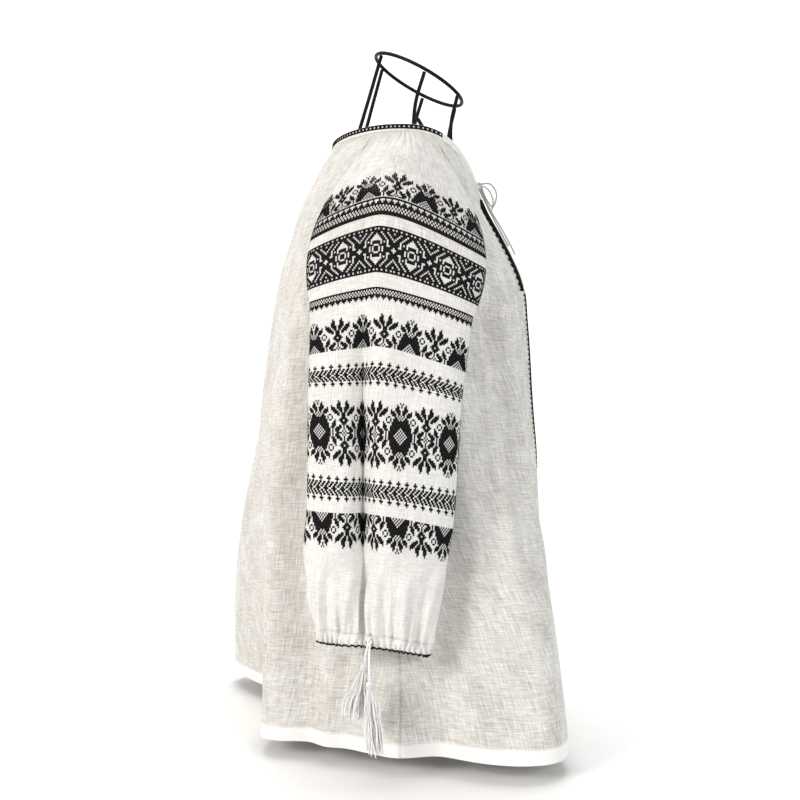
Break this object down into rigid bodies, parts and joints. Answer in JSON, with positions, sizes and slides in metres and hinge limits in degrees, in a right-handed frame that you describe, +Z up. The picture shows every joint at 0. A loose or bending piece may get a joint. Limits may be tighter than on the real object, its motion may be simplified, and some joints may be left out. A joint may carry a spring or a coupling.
{
  "type": "romanian ie blouse on wire dress form",
  "caption": "Off-white cotton ie blouse with gathered neck, front slit, long cross-stitched sleeves and tasselled cuffs, hanging on a black limbless wire dress form",
  "frame": {"origin": "middle of the round base's underside, on the surface that it stands on", "axes": "+Z is up, -Y is the front of the blouse with the neck slit, -X is the wearer's right side"},
  "size_m": [0.5154, 0.3858, 0.7664],
  "materials": {
    "cotton": "matt open plain weave",
    "cord": "twisted cotton",
    "black_wire": "matt black coating"
  },
  "bodies": {
    "root": {"front": "cotton", "back": "cotton", "neck_band": "cotton", "sleeve_right": "cotton", "sleeve_left": "cotton", "cuff_right": "cotton", "cuff_left": "cotton", "cuff_knot_right": "cord", "cuff_tassel_right_a": "cord", "cuff_tassel_right_b": "cord", "cuff_knot_left": "cord", "cuff_tassel_left_a": "cord", "cuff_tassel_left_b": "cord", "neck_knot": "cord", "neck_loop_right": "cord", "neck_loop_left": "cord", "neck_tail_right": "cord", "neck_tail_left": "cord", "form_base": "black_wire", "form_pole": "black_wire", "form_crossbar": "black_wire", "form_hoop_chest": "black_wire", "form_hoop_waist": "black_wire", "form_hoop_hip": "black_wire", "form_neck_ring": "black_wire", "form_shoulder_right": "black_wire", "form_front_right": "black_wire", "form_brace_right": "black_wire", "form_back_right": "black_wire", "form_shoulder_left": "black_wire", "form_front_left": "black_wire", "form_brace_left": "black_wire", "form_back_left": "black_wire"}
  },
  "joints": []
}
